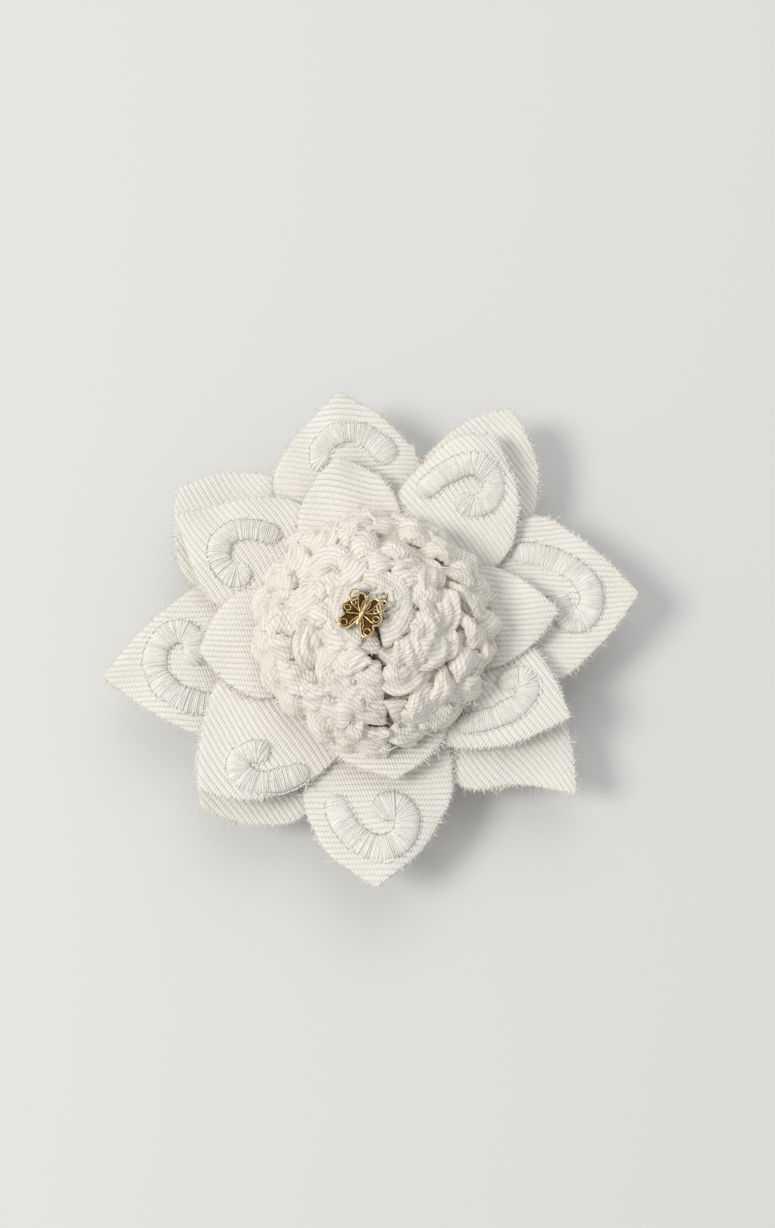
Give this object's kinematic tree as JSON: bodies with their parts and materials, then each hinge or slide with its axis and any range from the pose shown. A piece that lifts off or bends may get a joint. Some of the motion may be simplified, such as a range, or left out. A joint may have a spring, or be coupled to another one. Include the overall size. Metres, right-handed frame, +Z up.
{
  "type": "flower hair clip",
  "caption": "Fabric flower hair clip: layered pointed twill petals with raised embroidery, a coiled plait rosette and a metal butterfly, on a sprung alligator clip.",
  "frame": {"origin": "under the middle of the flower, on the plane that the clip rests on", "axes": "+Z up out of the flower's face, +X along the clip from its jaw tip to its finger tabs"},
  "size_m": [0.1092, 0.1042, 0.0351],
  "materials": {
    "petal_twill": "matte cotton twill",
    "embroidery_thread": "satin stitch in soft cotton thread",
    "rosette_cotton": "matte plaited cotton",
    "felt": "matte felt",
    "keeper_cloth": "matte cotton twill",
    "sewing_thread": "matte cotton thread",
    "charm_metal": "antique gold, polished on the raised edges",
    "clip_steel": "nickel plated, lightly brushed",
    "spring_wire": "drawn wire",
    "clear_glue": "cured glue"
  },
  "bodies": {
    "flower": {"clip_upper_arm": "clip_steel", "clip_hinge_pin": "clip_steel", "clip_spring": "spring_wire", "felt_backing": "felt", "clip_front_keeper": "keeper_cloth", "clip_rear_keeper": "keeper_cloth", "keeper_stitches": "sewing_thread", "base_petals": "petal_twill", "outer_petals": "petal_twill", "middle_petals": "petal_twill", "collar_petals": "petal_twill", "outer_scroll_right": "embroidery_thread", "outer_scroll_back": "embroidery_thread", "outer_scroll_left": "embroidery_thread", "outer_scroll_front": "embroidery_thread", "middle_scroll_back_right": "embroidery_thread", "middle_scroll_back_left": "embroidery_thread", "middle_scroll_front_left": "embroidery_thread", "middle_scroll_front_right": "embroidery_thread", "rosette_disc": "petal_twill", "rosette_core": "rosette_cotton", "rosette_outer_plait": "rosette_cotton", "rosette_end_wrap": "rosette_cotton", "rosette_inner_plait": "rosette_cotton", "rosette_bud": "rosette_cotton", "charm_glue": "clear_glue", "butterfly_charm": "charm_metal"},
    "clip_jaw": {"clip_lower_arm": "clip_steel"}
  },
  "joints": [
    {"name": "clip_open", "type": "hinge", "parent": "flower", "child": "clip_jaw", "pos_m": [0.008, 0, 0.0056], "axis": [0, -1, 0], "range_deg": [0, 19], "stiffness_Nm_per_rad": 0.12, "springref_deg": -28.65, "deforming": ["clip_spring"]}
  ]
}
